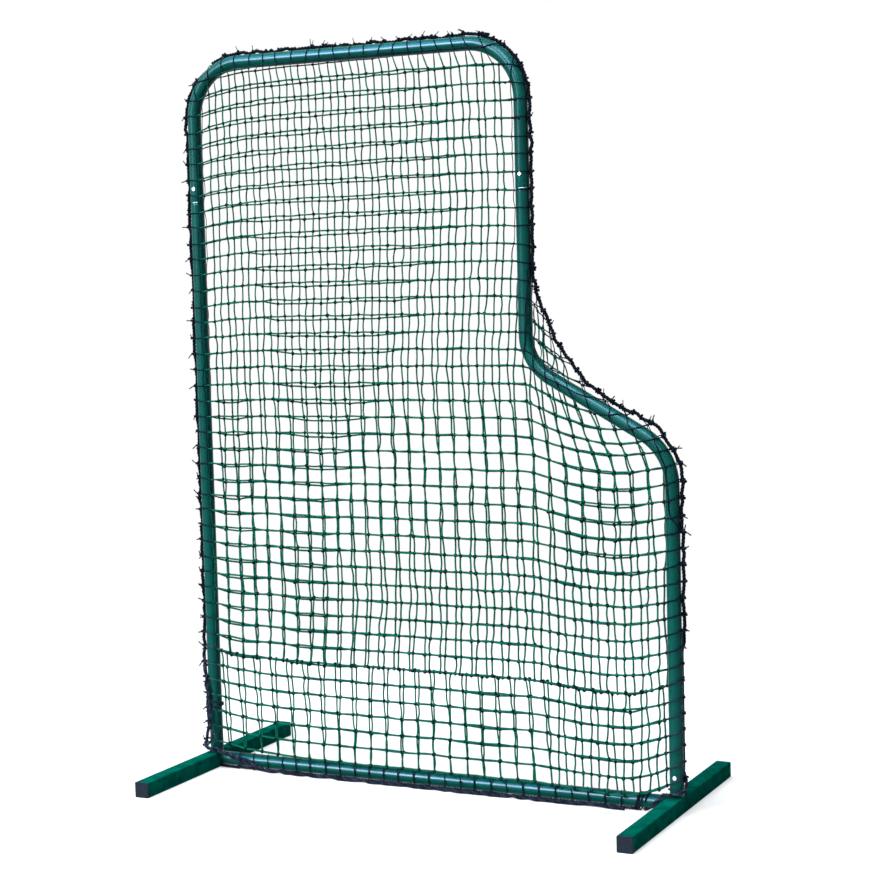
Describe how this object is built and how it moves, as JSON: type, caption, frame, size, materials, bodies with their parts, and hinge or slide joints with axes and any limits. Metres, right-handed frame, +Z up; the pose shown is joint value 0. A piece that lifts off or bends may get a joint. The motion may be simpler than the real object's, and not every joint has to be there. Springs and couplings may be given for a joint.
{
  "type": "pitching screen",
  "caption": "Free-standing baseball pitching screen: plug-together steel tube frame with a lowered corner, square feet and a laced double net.",
  "frame": {"origin": "on the floor, midway between the two feet and in the plane of the frame", "axes": "+Z up, +X to the right towards the low side of the screen, +Y to the back, away from the side that the snap buttons face"},
  "size_m": [1.5362, 0.81, 2.1421],
  "materials": {
    "frame_paint": "smooth semi-gloss green powder coat",
    "foot_paint": "satin green powder coat with fine mottling",
    "cap_plastic": "moulded, matte",
    "button_steel": "bright plated",
    "spring_steel": "plain strip",
    "net_twine": "twisted and knotted twine",
    "rope_fibre": "twisted three-strand rope"
  },
  "bodies": {
    "screen": {"top_hoop": "frame_paint", "left_upright": "frame_paint", "right_upright": "frame_paint", "crossbar": "frame_paint", "left_foot": "foot_paint", "right_foot": "foot_paint", "left_foot_post": "foot_paint", "right_foot_post": "foot_paint", "left_crossbar_stub": "foot_paint", "right_crossbar_stub": "foot_paint", "left_foot_front_cap": "cap_plastic", "left_foot_back_cap": "cap_plastic", "right_foot_front_cap": "cap_plastic", "right_foot_back_cap": "cap_plastic", "snap_spring_upper_left": "spring_steel", "snap_spring_upper_right": "spring_steel", "snap_spring_lower_left": "spring_steel", "snap_spring_lower_right": "spring_steel", "net_front": "net_twine", "net_back": "net_twine", "border_rope": "rope_fibre", "crossbar_lashing": "rope_fibre"},
    "upper_left_button": {"snap_button_upper_left": "button_steel"},
    "upper_right_button": {"snap_button_upper_right": "button_steel"},
    "lower_left_button": {"snap_button_lower_left": "button_steel"},
    "lower_right_button": {"snap_button_lower_right": "button_steel"}
  },
  "joints": [
    {"name": "press_upper_left_button", "type": "slide", "parent": "screen", "child": "upper_left_button", "axis": [0, 1, 0], "range_m": [0, 0.0045], "stiffness_N_per_m": 2000, "springref_m": -0.003, "deforming": ["snap_spring_upper_left"]},
    {"name": "press_upper_right_button", "type": "slide", "parent": "screen", "child": "upper_right_button", "axis": [0, 1, 0], "range_m": [0, 0.0045], "stiffness_N_per_m": 2000, "springref_m": -0.003, "deforming": ["snap_spring_upper_right"]},
    {"name": "press_lower_left_button", "type": "slide", "parent": "screen", "child": "lower_left_button", "axis": [0, 1, 0], "range_m": [0, 0.0045], "stiffness_N_per_m": 2000, "springref_m": -0.003, "deforming": ["snap_spring_lower_left"]},
    {"name": "press_lower_right_button", "type": "slide", "parent": "screen", "child": "lower_right_button", "axis": [0, 1, 0], "range_m": [0, 0.0045], "stiffness_N_per_m": 2000, "springref_m": -0.003, "deforming": ["snap_spring_lower_right"]}
  ]
}
